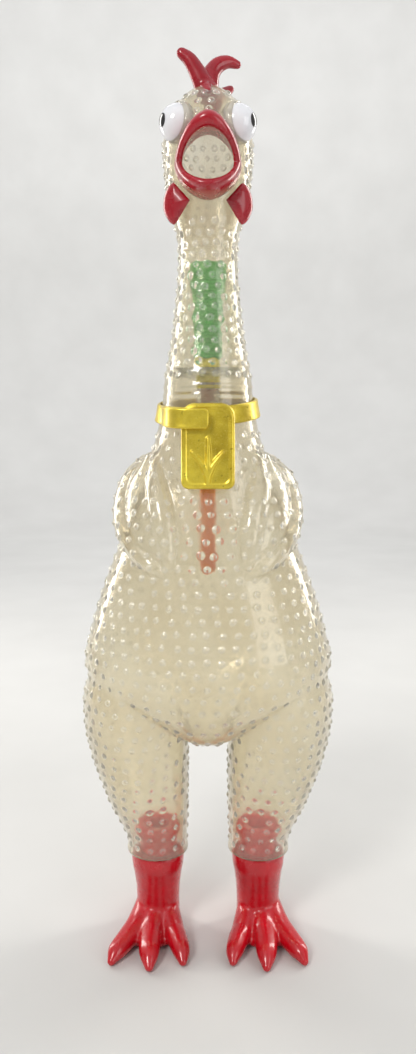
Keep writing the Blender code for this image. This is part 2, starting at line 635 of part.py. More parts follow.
def build_reed():
    """A half-round seat with an air slot, a thin reed over the slot and a wedge that pins its root."""
    foot = BARREL_HEIGHT + 5 + BOND
    spigot = BARREL_BORE - BOND
    seat = turned("seat", [(spigot, foot), (spigot, 376)], ring=False)
    keep_common(seat, block((-9, BOND, 300), (9, 9, 400)))
    cut(seat, block((-1.6, -2, REED_HEIGHT + 3), (1.6, 3.2, 371)))
    finish(seat, "reed_seat", CLEAR, NECK_AXIS)
    reed = block((-3, -REED_THICKNESS, foot + 0.5), (3, 0, 373))
    finish(reed, "reed", METAL, (0, -REED_THICKNESS / 2, REED_HEIGHT))
    wedge = turned("wedge", [(spigot, foot), (spigot, REED_HEIGHT - 1)], ring=False)
    keep_common(wedge, block((-9, -9, 300), (9, -REED_THICKNESS - BOND, 400)))
    finish(wedge, "reed_wedge", YELLOW, NECK_AXIS)


build_sound_unit()
build_reed()
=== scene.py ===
import math

import bmesh
import bpy
import numpy as np
from mathutils import Matrix, Vector, kdtree


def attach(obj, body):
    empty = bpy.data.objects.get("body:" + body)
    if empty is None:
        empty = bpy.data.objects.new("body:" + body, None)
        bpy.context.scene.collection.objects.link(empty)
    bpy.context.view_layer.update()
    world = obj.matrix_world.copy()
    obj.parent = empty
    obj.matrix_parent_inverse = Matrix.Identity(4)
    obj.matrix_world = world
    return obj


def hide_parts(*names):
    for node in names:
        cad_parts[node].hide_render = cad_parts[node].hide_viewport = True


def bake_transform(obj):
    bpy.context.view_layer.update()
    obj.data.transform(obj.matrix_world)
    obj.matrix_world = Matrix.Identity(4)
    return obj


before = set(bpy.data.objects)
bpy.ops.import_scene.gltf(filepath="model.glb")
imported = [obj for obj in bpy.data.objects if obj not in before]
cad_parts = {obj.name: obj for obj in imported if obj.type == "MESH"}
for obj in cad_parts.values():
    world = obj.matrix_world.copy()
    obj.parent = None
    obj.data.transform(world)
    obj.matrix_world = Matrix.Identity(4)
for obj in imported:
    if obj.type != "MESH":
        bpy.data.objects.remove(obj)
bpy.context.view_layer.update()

# ========================================
# The vinyl skin. One hollow moulding of milky clear soft vinyl about 2 mm thick, with goose bumps all
# over, cut at the neck for the whistle and glued again. It is shaped here as one body, outside and
# inside, and then parted where the neck, head and legs bend.
MM = 0.001
WALL = 2.2
GRAIN = 0.68     # spacing of the points on the outside, mm
LEG_END = 51.0
LEG_CUT, NECK_CUT, HEAD_CUT = 120.0, 318.5, 372.0      # heights where the skin is parted

# height, half width, reach forward, reach back
TRUNK = [(123.4, 2, 4, 4), (125.2, 7, 17, 14), (129, 15.5, 31, 28), (134, 25, 41, 36), (141, 37, 46, 43),
         (152, 58, 51, 49), (160, 69.5, 52, 51.5), (172, 72.3, 52, 51.5), (190, 68.4, 50, 48),
         (205, 64, 48, 45.5), (220, 58.8, 45.5, 43), (236, 52.6, 42.3, 40), (252, 46.4, 39, 37.5),
         (268, 40.5, 35.2, 34.2), (281, 35.6, 31.8, 31.6), (293, 32, 30.2, 30), (304, 28.8, 28, 27.6),
         (314, 26.9, 26.4, 26.2), (324, 25.2, 25.2, 25.2), (333, 24.5, 24.5, 24.5),
         (342, 22.7, 22.7, 22.7), (350, 21.3, 21.3, 21.3), (360, 19.7, 19.7, 19.7),
         (371, 18.5, 18.5, 18.5), (385, 17, 17, 17), (400, 16.3, 16.3, 16.4), (408, 16.6, 16.6, 17),
         (416, 18.4, 17.8, 18.9), (425, 21.6, 20, 20.8), (436, 23, 21.6, 22.4), (448, 24.2, 22.6, 23.2),
         (457, 24.5, 22.4, 23.4), (466, 22.8, 21, 22.4), (475, 18.6, 17.6, 19.4), (482, 13.2, 13, 15),
         (486.4, 7, 7, 8.6), (487.8, 2, 2, 2.4)]
# height, half width, reach forward, reach back, distance out
LEG = [(42, 18.6, 17.2, 17.2, 30.8), (52.5, 18.6, 17.2, 17.2, 30.8), (56, 17.8, 16.6, 16.6, 30.8),
       (68, 20, 19, 19, 32.6), (81, 23.4, 22.6, 22.2, 35.6), (94, 25.8, 26, 25.4, 37.9),
       (107, 28, 29, 28.4, 40), (120, 29.6, 32, 31.4, 41.6), (134, 30.6, 35, 34.4, 42.8),
       (148, 30.6, 37, 37, 43.1), (162, 27, 35, 35, 43), (174, 18, 26, 26, 42), (180, 8, 14, 14, 42)]


def eased(stations, step):
    """More stations between the given ones, on a curve that never swings past them."""
    table = np.array(stations, float)
    z = table[:, 0]
    rise = np.diff(table, axis=0) / np.diff(z)[:, None]
    slope = np.zeros_like(table)
    before, after = rise[:-1], rise[1:]
    same = before * after > 0
    slope[1:-1] = np.where(same, 2 * before * after / np.where(same, before + after, 1), 0)
    slope[0], slope[-1] = rise[0], rise[-1]
    heights = np.unique(np.concatenate([np.arange(z[0], z[-1], step), z]))
    at = np.clip(np.searchsorted(z, heights, side="right") - 1, 0, len(z) - 2)
    span = (z[at + 1] - z[at])[:, None]
    t = ((heights - z[at])[:, None]) / span
    a, b, c, d = 2 * t**3 - 3 * t**2 + 1, 3 * t**2 - 2 * t**3, t**3 - 2 * t**2 + t, t**3 - t**2
    return a * table[at] + b * table[at + 1] + span * (c * slope[at] + d * slope[at + 1])


def woven(rows, sides, closed=False):
    """Faces between neighbouring rows of points; closed joins the last row to the first."""
    faces = []
    for row in range(rows if closed else rows - 1):
        low, high = row * sides, (row + 1) % rows * sides
        for this in range(sides):
            after = (this + 1) % sides
            faces.append([low + this, low + after, high + after, high + this])
    return faces


def bridged(rings):
    """Points and faces of a closed form through rings of equal point counts."""
    sides = len(rings[0])
    points = np.concatenate([np.asarray(r, float) for r in rings])
    faces = woven(len(rings), sides)
    faces.append(list(reversed(range(sides))))
    faces.append(list(range(len(points) - sides, len(points))))
    return points, faces


def turned_form(stations, grow=0.0, sides=96, side=1):
    """A closed form through level sections. grow moves its surface out, or in when negative."""
    a = 2 * np.pi * np.arange(sides) / sides
    rings = []
    for row in stations:
        width, front, back = np.maximum(np.array(row[1:4]) + grow, 0.6)
        x = side * row[4] if len(row) > 4 else 0.0
        depth = np.where(np.sin(a) > 0, back, front)
        rings.append(np.stack([x + width * np.cos(a), depth * np.sin(a), np.full(sides, row[0])], 1))
    return bridged(rings)


def smooth_line(points, steps):
    """A smooth line through points of any width, with steps on each stretch."""
    p = np.array(points, float)
    p = np.vstack([2 * p[0] - p[1], p, 2 * p[-1] - p[-2]])
    made = []
    for i in range(1, len(p) - 2):
        before, here, after, beyond = p[i - 1:i + 3]
        for t in np.arange(steps) / steps:
            bend = (2 * before - 5 * here + 4 * after - beyond) * t**2
            twist = (3 * here - before - 3 * after + beyond) * t**3
            made.append(0.5 * (2 * here + (after - before) * t + bend + twist))
    made.append(p[-2])
    return np.array(made)


def finger(line, flat=1.0, grow=0.0, sides=32, steps=6, face=(0.31, 0.9, 0.17)):
    """A soft rod along a line of (x, y, z, radius), rounded at both ends. flat thins it towards face."""
    path = smooth_line(line, steps)
    spine, radii = path[:, :3], np.maximum(path[:, 3] + grow, 0.3)
    a = 2 * np.pi * np.arange(sides) / sides
    rings = []
    for i in range(len(spine)):
        along = spine[min(i + 1, len(spine) - 1)] - spine[max(i - 1, 0)]
        along = along / np.linalg.norm(along)
        across = np.cross(along, face)
        across /= np.linalg.norm(across)
        up = np.cross(across, along)
        section = np.cos(a)[:, None] * across + flat * np.sin(a)[:, None] * up
        if i in (0, len(spine) - 1):
            out = -along if i == 0 else along
            caps = [spine[i] + out * radii[i] * math.sin(t) + radii[i] * math.cos(t) * section
                    for t in (1.45, 1.0, 0.5)]
            rings += caps if i == 0 else []
        rings.append(spine[i] + radii[i] * section)
        if i == len(spine) - 1:
            rings += caps[::-1]
    return bridged(rings)


def hoop(centre, axis, major, minor, turns=64, sides=16):
    """A round rod bent to a ring about an axis through centre."""
    axis = Vector(axis).normalized()
    across = axis.orthogonal().normalized()
    up = axis.cross(across)
    points, faces = [], []
    for i in range(turns):
        out = math.cos(i * math.tau / turns) * across + math.sin(i * math.tau / turns) * up
        for j in range(sides):
            b = j * math.tau / sides
            points.append(Vector(centre) + out * (major + minor * math.cos(b)) + axis * minor * math.sin(b))
            this, after, step = i * sides, (i + 1) % turns * sides, (j + 1) % sides
            faces.append([this + j, after + j, after + step, this + step])
    return np.array([tuple(p) for p in points]), faces


def oval(centre, half_x, half_y, z, sides):
    """A level ring of points."""
    a = 2 * np.pi * np.arange(sides) / sides
    x, y = centre[0] + half_x * np.cos(a), centre[1] + half_y * np.sin(a)
    return np.stack([x, y, np.full(sides, float(z))], 1)


def pebble(centre, radii):
    """An egg-shaped lump."""
    rings = []
    for h in np.cos(np.linspace(np.pi - 0.06, 0.06, 33)):
        wide = math.sqrt(1 - h * h)
        rings.append(oval(centre, radii[0] * wide, radii[1] * wide, centre[2] + radii[2] * h, 48))
    return bridged(rings)


def mirror(form):
    points, faces = form
    return points * np.array([-1, 1, 1]), [list(reversed(f)) for f in faces]


def mesh_of(name, points, faces):
    mesh = bpy.data.meshes.new(name)
    mesh.from_pydata((np.asarray(points) * MM).tolist(), [], faces)
    return mesh


def piece_of(name, data):
    """A new object in the scene from a mesh, a lamp or a camera."""
    piece = bpy.data.objects.new(name, data)
    bpy.context.scene.collection.objects.link(piece)
    return piece


def with_modifiers(piece):
    """Its mesh with every modifier worked in."""
    graph = bpy.context.evaluated_depsgraph_get()
    graph.update()
    mesh = bpy.data.meshes.new_from_object(piece.evaluated_get(graph))
    piece.modifiers.clear()
    piece.data = mesh
    return piece


def fused(name, forms, grain, smoothing):
    """Closed forms melted into one soft body, with its points grain apart."""
    points, faces, count = [], [], 0
    for p, f in forms:
        points.append(p)
        faces += [[i + count for i in face] for face in f]
        count += len(p)
    body = piece_of(name, mesh_of(name, np.concatenate(points), faces))
    remesh = body.modifiers.new("melt", "REMESH")
    remesh.mode, remesh.voxel_size, remesh.use_smooth_shade = "VOXEL", grain * MM, True
    soften = body.modifiers.new("soften", "SMOOTH")
    soften.factor, soften.iterations = 0.5, smoothing
    return with_modifiers(body)


def read(items, key, width=1, kind=float):
    """One value, or a few side by side, from each of many items."""
    values = np.zeros(len(items) * width, kind)
    items.foreach_get(key, values)
    return values


def points_of(mesh):
    return read(mesh.vertices, "co", 3).reshape(-1, 3) / MM


def normals_of(mesh):
    return read(mesh.vertex_normals, "vector", 3).reshape(-1, 3)


def tree_of(points):
    """Finds the nearest of many points."""
    tree = kdtree.KDTree(len(points))
    for i, p in enumerate(points):
        tree.insert(p, i)
    tree.balance()
    return tree


EYE = (15.6, -11.0, 465.0)
EYE_LOOK = (0.80, -0.58, 0.08)
# the wing's three parts, each a line of x, y, z and radius
SHOULDER = [(36, 5, 286.5, 4.5), (43, 0, 275, 7.4), (45.6, -9, 258, 8.4), (41, -22, 244, 7.6),
            (32, -33, 234, 5.8), (23.6, -39.4, 229, 3.0)]
FEATHERS = [(33, -4, 287, 6), (36, -12.5, 273, 11), (34.4, -22.5, 257, 12.5), (29.4, -30.6, 243, 10.5),
            (23.6, -37.6, 231, 4)]
FOREARM = [(28.5, -14.5, 290, 3.2), (28, -22, 277, 6.0), (25.4, -29.6, 263, 7.0),
           (22.6, -35.2, 249, 6.6), (21, -39.4, 234, 3.6)]


def skin_forms(grow):
    trunk = eased(TRUNK, 2.0)
    leg = eased(LEG, 2.0)
    forms = [turned_form(trunk, grow)]
    forms += [turned_form(leg, grow, side=side) for side in (1, -1)]
    for line, flat in ((SHOULDER, 1.0), (FEATHERS, 0.66), (FOREARM, 1.0)):
        wing = finger(line, flat, 0.6 * grow, face=(0.62, -0.78, 0.1))
        forms += [wing, mirror(wing)]
    return forms


def raised_rims():
    """The lids round the eyes, the glued seam of the neck, and a small fold on the belly."""
    lid = hoop(np.array(EYE) + 1.4 * np.array(EYE_LOOK), EYE_LOOK, 9.7, 1.7)
    seam = [hoop((0, 0, z), (0, 0, 1), r, 1.1) for z, r in ((323.6, 24.7), (328.6, 24.4))]
    fold = finger([(-7, -51, 163.5, 0.9), (-1, -52.2, 166.5, 1.5), (6, -51.2, 168, 0.8)])
    return [lid, mirror(lid), *seam, fold]


skin_out = fused("skin_outside", skin_forms(0) + raised_rims(), GRAIN, 10)
skin_in = fused("skin_inside", skin_forms(-WALL), 1.8, 4)


# The goose bumps: low domes in staggered rows, a little uneven as a hand-cut mould is.
BUMP_RADIUS, BUMP_HEIGHT = 1.72, 1.0
BUMP_GAP, ROW_GAP = 8.0, 7.0
ROW_ROOM, FILL_ROOM = 0.80, 0.98      # share of the gap that a bump in a row, or one between, keeps free
STEPS = 180      # places round the skin at which a row's line is kept


def bump_gap(z):
    """The bumps stand closer together on the neck and the head."""
    return np.interp(z, [300, 345, 400], [1.0, 0.84, 0.78])


def row_round(group):
    """The line that a row of bumps follows round the skin, and the length run along it."""
    middle = group[:, :2].mean(0)
    angle = np.arctan2(group[:, 1] - middle[1], group[:, 0] - middle[0])
    bins = ((angle + np.pi) / (2 * np.pi) * STEPS).astype(int) % STEPS
    reach = np.full(STEPS, np.nan)
    for b in np.unique(bins):
        reach[b] = np.linalg.norm(group[bins == b, :2] - middle, axis=1).max()
    known = np.flatnonzero(~np.isnan(reach))
    reach = np.interp(np.arange(STEPS), known, reach[known], period=STEPS)
    turn = (np.arange(STEPS) + 0.5) / STEPS * 2 * np.pi - np.pi
    x, y = middle[0] + reach * np.cos(turn), middle[1] + reach * np.sin(turn)
    steps = np.hypot(np.diff(x, append=x[0]), np.diff(y, append=y[0]))
    return x, y, np.concatenate([[0], np.cumsum(steps)])


def bump_places(points):
    """Points of the surface for the bumps: rows first, then the places that the rows left bare."""
    chance = np.random.default_rng(7)
    order = tree_of(points)
    grid, chosen = {}, []

    def cell_of(p):
        return tuple((p // BUMP_GAP).astype(int))

    def free(p, gap):
        cell = cell_of(p)
        near = [q for dx in (-1, 0, 1) for dy in (-1, 0, 1) for dz in (-1, 0, 1)
                for q in grid.get((cell[0] + dx, cell[1] + dy, cell[2] + dz), ())]
        return all(((p - q) ** 2).sum() > gap * gap for q in near)

    def take(i):
        p = points[i]
        grid.setdefault(cell_of(p), []).append(p)
        chosen.append(i)

    z, row = 57.0, 0
    while z < 484:
        gap = bump_gap(z)
        band = points[np.abs(points[:, 2] - z) < 0.9]
        groups = [band] if z > 119 else [band[band[:, 0] > 0], band[band[:, 0] < 0]]
        for group in groups:
            if len(group) < 12:
                continue
            x, y, run = row_round(group)
            count = max(int(round(run[-1] / (BUMP_GAP * gap))), 3)
            for k in range(count):
                s = (k + 0.5 * (row % 2) + chance.uniform(-0.09, 0.09)) / count * run[-1] % run[-1]
                at = np.interp(s, run, np.arange(STEPS + 1)) % STEPS
                low = int(at)
                part = at - low
                after = (low + 1) % STEPS
                spot_x = (1 - part) * x[low] + part * x[after]
                spot_y = (1 - part) * y[low] + part * y[after]
                i = order.find((spot_x, spot_y, z + chance.uniform(-0.5, 0.5)))[1]
                if free(points[i], ROW_ROOM * BUMP_GAP * gap):
                    take(i)
        z += ROW_GAP * gap
        row += 1
    for i in chance.permutation(len(points))[:40000]:
        if points[i][2] < 55:
            continue
        if free(points[i], FILL_ROOM * BUMP_GAP * bump_gap(points[i][2])):
            take(i)
    return points[chosen]


def bare(p):
    """Where the mould has no bumps: round the eyes, under the beak, the collar, the seam and the leg rims."""
    x, y, z = np.abs(p[:, 0]), p[:, 1], p[:, 2]
    eye = ((x - EYE[0]) / 13.5) ** 2 + ((y - EYE[1]) / 12.5) ** 2 + ((z - EYE[2]) / 13.5) ** 2 < 1
    beak = (x / 19.5) ** 2 + ((z - 441) / 23.5) ** 2 < 1
    jowl = ((x - 16.5) / 8.5) ** 2 + ((z - 423) / 12.5) ** 2 < 1
    collar = np.abs(z - 310 + 0.18 * y) < 5.8
    tag = (x < 15) & (z > 271) & (z < 321)
    seam = (z > 321) & (z < 331)
    comb = (x < 6) & (z > 483)
    return eye | ((beak | jowl | tag) & (y < 0)) | collar | seam | comb | (z < 56.5)


def raise_bumps(body):
    points, normals = points_of(body.data), normals_of(body.data)
    places = bump_places(points)
    places = places[~bare(places)]
    centres = tree_of(places)
    chance = np.random.default_rng(11)
    size = chance.uniform(0.88, 1.1, len(places))
    lift = np.zeros(len(points))
    for i, p in enumerate(points):
        _, at, far = centres.find(p)
        reach = far / (BUMP_RADIUS * size[at])
        if reach < 1:
            lift[i] = (1 - reach * reach) ** 0.7
    body.data.vertices.foreach_set("co", ((points + normals * (BUMP_HEIGHT * lift)[:, None]) * MM).ravel())
    body.data.update()
    return lift


lift_out, lift_in = raise_bumps(skin_out), np.zeros(len(skin_in.data.vertices))


MOUTH_Z, MOUTH_HALF, MOUTH_ABOVE, MOUTH_BELOW = 442.0, 12.4, 14.2, 10.1
MOUTH_POWER = 1.12      # 1 is a plain oval, 2 has straight sides


def mouth_line(grow, count=96):
    """The opening of the beak: a soft lozenge, taller above its corners than below."""
    a = 2 * np.pi * np.arange(count) / count
    rise = np.where(np.sin(a) > 0, MOUTH_ABOVE, MOUTH_BELOW) + grow
    x = (MOUTH_HALF + grow) * np.sign(np.cos(a)) * np.abs(np.cos(a)) ** MOUTH_POWER
    return x, MOUTH_Z + rise * np.sign(np.sin(a)) * np.abs(np.sin(a)) ** MOUTH_POWER


def in_mouth(p, grow):
    """Whether points on the front of the head lie inside the opening."""
    x, z = p[:, 0], p[:, 2] - MOUTH_Z
    rise = np.where(z > 0, MOUTH_ABOVE, MOUTH_BELOW) + grow
    across = (np.abs(x) / (MOUTH_HALF + grow)) ** (2 / MOUTH_POWER)
    upright = (np.abs(z) / rise) ** (2 / MOUTH_POWER)
    return (across + upright < 1) & (p[:, 1] < -5)


def faces_of(mesh):
    starts = read(mesh.polygons, "loop_start", kind=int)
    totals = read(mesh.polygons, "loop_total", kind=int)
    corners = read(mesh.loops, "vertex_index", kind=int)
    return [corners[s:s + t] for s, t in zip(starts, totals)]


def skin_regions(mesh, hole):
    """Which region each face of one side of the skin belongs to; 0 is the hole of the mouth."""
    points = points_of(mesh)
    faces = faces_of(mesh)
    middles = np.array([points[f].mean(0) for f in faces])
    x, z = middles[:, 0], middles[:, 2]
    low = z < LEG_CUT
    region = np.select([low & (x > 9), low & (x < -9), z < NECK_CUT, z < HEAD_CUT], [1, 2, 3, 4], 5)
    region[(region == 5) & in_mouth(middles, hole)] = 0
    return points, faces, region


def skin_piece(name, number):
    """One region of the skin, outside and inside, with shading that runs on into its neighbours."""
    points, faces, normals, lifts, count = [], [], [], [], 0
    for mesh, lift, found, turn in ((skin_out.data, lift_out, outside, 1),
                                    (skin_in.data, lift_in, inside, -1)):
        all_points, all_faces, region = found
        mine = [all_faces[i] for i in np.flatnonzero(region == number)]
        used = np.unique(np.concatenate(mine))
        place = np.full(len(all_points), -1)
        place[used] = np.arange(len(used)) + count
        faces += [place[f][::turn].tolist() for f in mine]
        points.append(all_points[used])
        normals.append(turn * normals_of(mesh)[used])
        lifts.append(lift[used])
        count += len(used)
    mesh = mesh_of(name, np.concatenate(points), faces)
    mesh.shade_smooth()
    mesh.attributes.new("bump", "FLOAT", "POINT").data.foreach_set("value", np.concatenate(lifts))
    piece = piece_of(name, mesh)
    return piece, np.concatenate(normals)


def close_leg_end(piece, normals):
    """Trims the leg end level and joins outside and inside round its rim."""
    kept = tree_of(points_of(piece.data))
    shape = bmesh.new()
    shape.from_mesh(piece.data)
    everything = shape.verts[:] + shape.edges[:] + shape.faces[:]
    bmesh.ops.bisect_plane(shape, geom=everything, plane_co=(0, 0, LEG_END * MM), plane_no=(0, 0, 1),
                           clear_inner=True)
    rim = [e for e in shape.edges if e.is_boundary and abs(e.verts[0].co.z / MM - LEG_END) < 0.05
           and abs(e.verts[1].co.z / MM - LEG_END) < 0.05]
    for face in bmesh.ops.bridge_loops(shape, edges=rim)["faces"]:
        face.normal_update()
        if face.normal.z > 0:
            face.normal_flip()
    shape.to_mesh(piece.data)
    shape.free()
    natural = normals_of(piece.data)
    for i, p in enumerate(points_of(piece.data)):
        if p[2] > LEG_CUT - 3:
            natural[i] = normals[kept.find(p)[1]]
    return natural


outside = skin_regions(skin_out.data, 2.2)
inside = skin_regions(skin_in.data, 1.6)
SKIN_PARTS = {1: "leg_skin_left", 2: "leg_skin_right", 3: "body_skin", 4: "neck_skin", 5: "head_skin"}
skin = {}
for number, name in SKIN_PARTS.items():
    piece, normals = skin_piece(name + "_vinyl", number)
    if number < 3:
        normals = close_leg_end(piece, normals)
    piece.data.shade_smooth()
    piece.data.normals_split_custom_set_from_vertices(normals.tolist())
    skin[name] = piece
for used in (skin_out, skin_in):
    bpy.data.objects.remove(used)


def shader(name, colour, roughness, **sockets):
    """A new material, its links, its shader and its maker of nodes."""
    material = bpy.data.materials.new(name)
    material.use_nodes = True
    nodes, links = material.node_tree.nodes, material.node_tree.links
    principled = nodes["Principled BSDF"]
    principled.inputs["Base Color"].default_value = (*colour, 1)
    principled.inputs["Roughness"].default_value = roughness
    for socket, value in sockets.items():
        principled.inputs[socket.replace("_", " ")].default_value = value

    def add(kind, **settings):
        node = nodes.new("ShaderNode" + kind)
        for key, value in settings.items():
            if hasattr(node, key):
                setattr(node, key, value)
            else:
                node.inputs[key.replace("_", " ")].default_value = value
        return node

    return material, links, principled, add


def noise(add, links, scale, detail=3.0, rough=0.5, stretch=(1, 1, 1)):
    """Noise in the piece's own place, in metres."""
    place = add("TexCoord")
    mapping = add("Mapping")
    mapping.inputs["Scale"].default_value = stretch
    field = add("TexNoise", Scale=scale, Detail=detail, Roughness=rough)
    links.new(place.outputs["Object"], mapping.inputs["Vector"])
    links.new(mapping.outputs["Vector"], field.inputs["Vector"])
    return field.outputs["Fac"]


def graded(add, links, value, low, high, out_low, out_high):
    ramp = add("MapRange")
    for key, number in zip(("From Min", "From Max", "To Min", "To Max"), (low, high, out_low, out_high)):
        ramp.inputs[key].default_value = number
    links.new(value, ramp.inputs["Value"])
    return ramp.outputs["Result"]


def mixed(add, links, factor, first, second):
    """Two colours, each fixed or from another node, mixed by a third value."""
    mix = add("Mix", data_type="RGBA")
    for socket, source in ((mix.inputs["Factor"], factor), (mix.inputs[6], first), (mix.inputs[7], second)):
        if isinstance(source, tuple):
            socket.default_value = (*source, 1)
        else:
            links.new(source, socket)
    return mix.outputs[2]


def uneven_colour(add, links, principled, field, low, high, first, second):
    """Patches of two colours that run into each other."""
    patches = graded(add, links, field, low, high, 0, 1)
    links.new(mixed(add, links, patches, first, second), principled.inputs["Base Color"])


def uneven_gloss(add, links, principled, field, smooth, dull, high=0.7):
    """Roughness that wanders between two values."""
    links.new(graded(add, links, field, 0.3, high, smooth, dull), principled.inputs["Roughness"])


def bumped(add, links, principled, height, strength, distance):
    bump = add("Bump", Strength=strength, Distance=distance)
    links.new(height, bump.inputs["Height"])
    links.new(bump.outputs["Normal"], principled.inputs["Normal"])


def combined(add, links, operation, first, second):
    node = add("Math", operation=operation)
    for socket, source in zip(node.inputs, (first, second)):
        if isinstance(source, (int, float)):
            socket.default_value = source
        else:
            links.new(source, socket)
    return node.outputs["Value"]


def vinyl():
    """Milky clear vinyl: see-through face on, cloudy and yellow where the eye meets more of it, with a
    painted glint that whitens the flanks of the bumps, and painted light that makes the back of the head
    milkier and whiter."""
    material, links, principled, add = shader("milky_vinyl", (0.93, 0.90, 0.80), 0.2,
                                              Transmission_Weight=0.84, IOR=1.45,
                                              Coat_Weight=0.6, Coat_Roughness=0.05)
    cloud = noise(add, links, 26, 4, 0.55)
    patches = graded(add, links, cloud, 0.35, 0.68, 0, 1)
    milk = mixed(add, links, patches, (0.972, 0.93, 0.80), (0.945, 0.87, 0.69))
    facing = add("LayerWeight", Blend=0.5).outputs["Facing"]
    edge = graded(add, links, facing, 0.45, 0.97, 0.0, 1.0)
    bump = add("Attribute", attribute_name="bump").outputs["Fac"]
    # painted glint: the flanks of the bumps are made whiter and less clear, standing in for rings of
    # reflected light
    bump_flank_glint = combined(add, links, "MULTIPLY", bump, graded(add, links, bump, 0.0, 1.0, 3.6, 0.0))
    tint = mixed(add, links, edge, milk, (0.88, 0.75, 0.44))
    links.new(mixed(add, links, bump_flank_glint, tint, (0.97, 0.95, 0.87)), principled.inputs["Base Color"])
    uneven_gloss(add, links, principled, noise(add, links, 60, 3), 0.10, 0.22)
    clear = graded(add, links, cloud, 0.3, 0.7, 0.955, 0.88)
    clear = combined(add, links, "SUBTRACT", clear, combined(add, links, "MULTIPLY", edge, 0.36))
    clear = combined(add, links, "SUBTRACT", clear, combined(add, links, "MULTIPLY", bump_flank_glint, 0.20))
    # painted light: the back of the head is made less clear, so it reads whiter through the mouth, as if lit
    # from behind
    place = add("SeparateXYZ")
    links.new(add("TexCoord").outputs["Object"], place.inputs["Vector"])
    high = graded(add, links, place.outputs["Z"], 0.385, 0.425, 0.0, 0.13)
    behind = graded(add, links, place.outputs["Y"], 0.004, 0.016, 0.0, 1.0)
    painted_backlight_nape = combined(add, links, "MULTIPLY", high, behind)
    clear = combined(add, links, "SUBTRACT", clear, painted_backlight_nape)
    links.new(clear, principled.inputs["Transmission Weight"])
    flow = noise(add, links, 90, 4, 0.6, (1, 1, 0.6))
    bumped(add, links, principled, flow, 0.25, 0.0007)
    return material


milky_vinyl = vinyl()
for piece in skin.values():
    piece.data.materials.append(milky_vinyl)
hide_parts("torso_skin", "belly_panel")
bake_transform(skin["body_skin"])
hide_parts("neck_skin")
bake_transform(skin["neck_skin"])
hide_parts("head_skin")
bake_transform(skin["head_skin"])
for side in ("left", "right"):
    leg = skin["leg_skin_" + side]
    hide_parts("leg_skin_" + side)
    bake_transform(leg)

# ========================================
# The feet. Two solid-looking red vinyl feet, moulded apart from the skin: a hollow plug pushed up into
# the leg, a shank whose shoulder meets the leg's rim, three clawed toes in front and a spur behind.
FOOT_OUT = 30.8
SHANK = 16.0
TOES = [[(2, -3, 12, 10), (3, -16, 8.4, 7.4), (3.4, -28, 6.6, 6.6), (3, -37, 5.4, 5.6),
         (2.6, -43.4, 3.2, 2.8)],
        [(5, -2, 12, 10), (12, -14, 8.2, 7), (18, -25, 6.2, 6.1), (22.4, -33, 5, 5.2), (24.6, -38.6, 3, 2.6)],
        [(-3, -2, 12, 10), (-9, -14, 8.2, 7), (-13, -25, 6.2, 6.1), (-15.4, -33, 5, 5.2),
         (-16.4, -39, 3, 2.6)],
        [(1, 3, 12, 9), (3, 14, 7.6, 6.2), (4.4, 22, 5.6, 5.2), (5, 29.4, 3.2, 2.6)]]
KNUCKLES = [(3.2, -19.5, 8.6), (3, -32, 7), (13.6, -19, 8.2), (20, -29.6, 6.6), (-10.8, -19.6, 8.2),
            (-14.4, -30.4, 6.6)]


def foot_form():
    shank = [(3, 13), (9, 13.2), (16, 13), (26, 13.4), (36, 14.6), (43, SHANK - 0.2), (49.6, SHANK),
             (50.7, SHANK - 0.6)]
    rings = [(z, r, r, r, FOOT_OUT) for z, r in shank]
    forms = [turned_form(eased(rings, 1.0))]
    for toe in TOES:
        forms.append(finger([(x + FOOT_OUT, y, z, r) for x, y, z, r in toe]))
    for x, y, z in KNUCKLES:
        forms.append(pebble((x + FOOT_OUT, y, z), (5.6, 2.6, 4.4)))
    forms.append(pebble((FOOT_OUT + 3, -13, 4), (15, 15, 5.4)))
    return forms


def flatten_sole(piece, floor):
    """Presses everything below the sole up to one level."""
    for vertex in piece.data.vertices:
        vertex.co.z = max(vertex.co.z, floor * MM)


def plug_form():
    """The hollow plug above the shank's shoulder, a thick sleeve with a rounded mouth."""
    outer, neck, bore = 13.6, 11.2, 6.6
    outside = [(neck, 47), (neck, 57), (neck + 0.6, 59.5), (outer - 0.4, 62.5), (outer, 64.5)]
    lip = [(outer - 0.3, 66.6), (outer - 1.5, 67.8), (outer - 2.6, 68), (bore + 1.2, 67.6),
           (bore + 0.3, 66.8)]
    inside = [(bore, 65.5), (bore, 16), (bore - 2.5, 14.4), (0.5, 14)]
    return bridged([oval((FOOT_OUT, 0), r, r, z, 72) for r, z in outside + lip + inside])


def red_vinyl(name, dark, light):
    """Glossy red vinyl, a little uneven from the mould and finely scuffed."""
    material, links, principled, add = shader(name, light, 0.24, IOR=1.5,
                                              Coat_Weight=0.55, Coat_Roughness=0.06)
    uneven_colour(add, links, principled, noise(add, links, 42, 4, 0.6), 0.3, 0.72, dark, light)
    uneven_gloss(add, links, principled, noise(add, links, 150, 4), 0.20, 0.38, high=0.75)
    bumped(add, links, principled, noise(add, links, 420, 3, 0.6), 0.10, 0.0003)
    return material


def dressed(piece, material):
    """Gives a piece its one material and a smooth surface."""
    piece.data.materials.clear()
    piece.data.materials.append(material)
    piece.data.shade_smooth()


SIDES = ((1, "left"), (-1, "right"))
foot_red = red_vinyl("foot_red", (0.42, 0.0, 0.006), (0.60, 0.002, 0.012))
